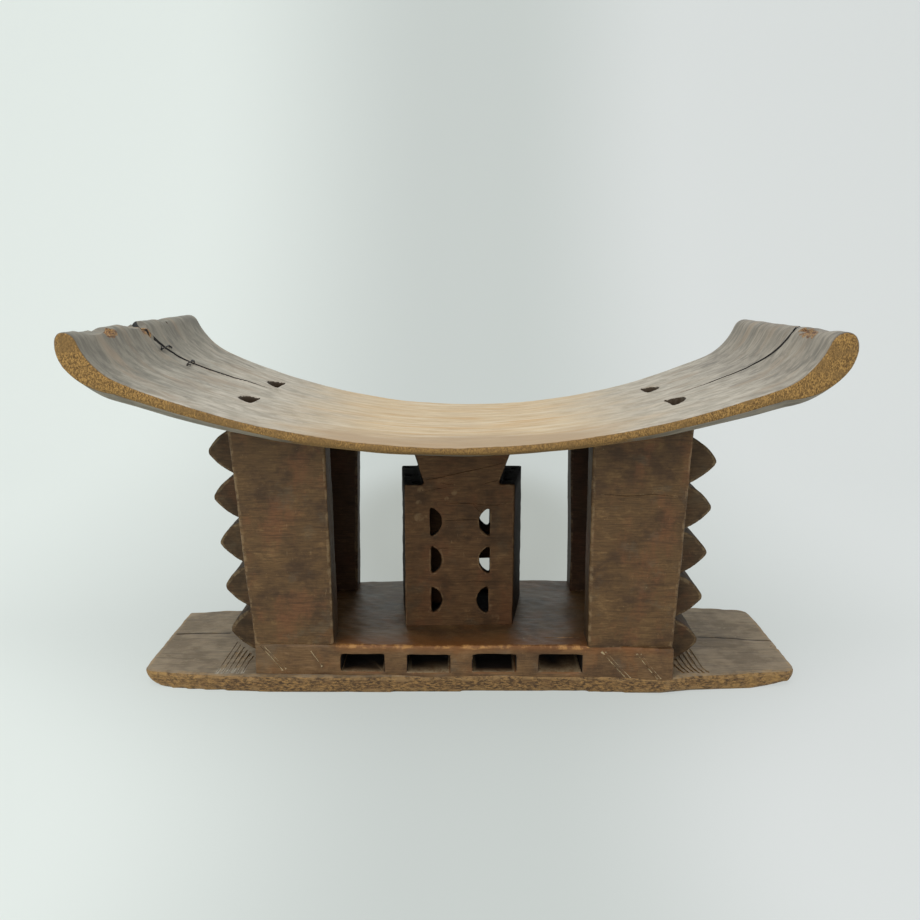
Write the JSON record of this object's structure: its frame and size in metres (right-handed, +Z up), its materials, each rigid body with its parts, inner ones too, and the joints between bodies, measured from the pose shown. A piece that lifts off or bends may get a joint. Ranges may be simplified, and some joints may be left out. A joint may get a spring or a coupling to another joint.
{
  "type": "stool",
  "caption": "Carved wooden stool with a curved plank seat on corner posts, toothed end webs and a pierced hollow column, over a slotted plinth and a thin base.",
  "frame": {"origin": "on the ground, below the middle of the seat", "axes": "+X along the seat to the sitter's left as seen from the front, +Y from the front to the back, +Z up"},
  "size_m": [0.6204, 0.296, 0.3216],
  "materials": {
    "seat_wood": "worn and scrubbed, with a golden rubbed rim",
    "dark_wood": "dark handled patina, satin",
    "tooth_wood": "dark, dry patina",
    "base_wood": "grey-brown, dusty, with a golden rubbed edge",
    "iron_wire": "dull dark iron"
  },
  "bodies": {
    "root": {"seat": "seat_wood", "front_left_post": "dark_wood", "front_right_post": "dark_wood", "back_left_post": "dark_wood", "back_right_post": "dark_wood", "left_toothed_web": "tooth_wood", "right_toothed_web": "tooth_wood", "centre_column": "dark_wood", "column_neck": "dark_wood", "plinth": "dark_wood", "base": "base_wood", "left_crack_stitch_1": "iron_wire", "left_crack_stitch_2": "iron_wire"}
  },
  "joints": []
}
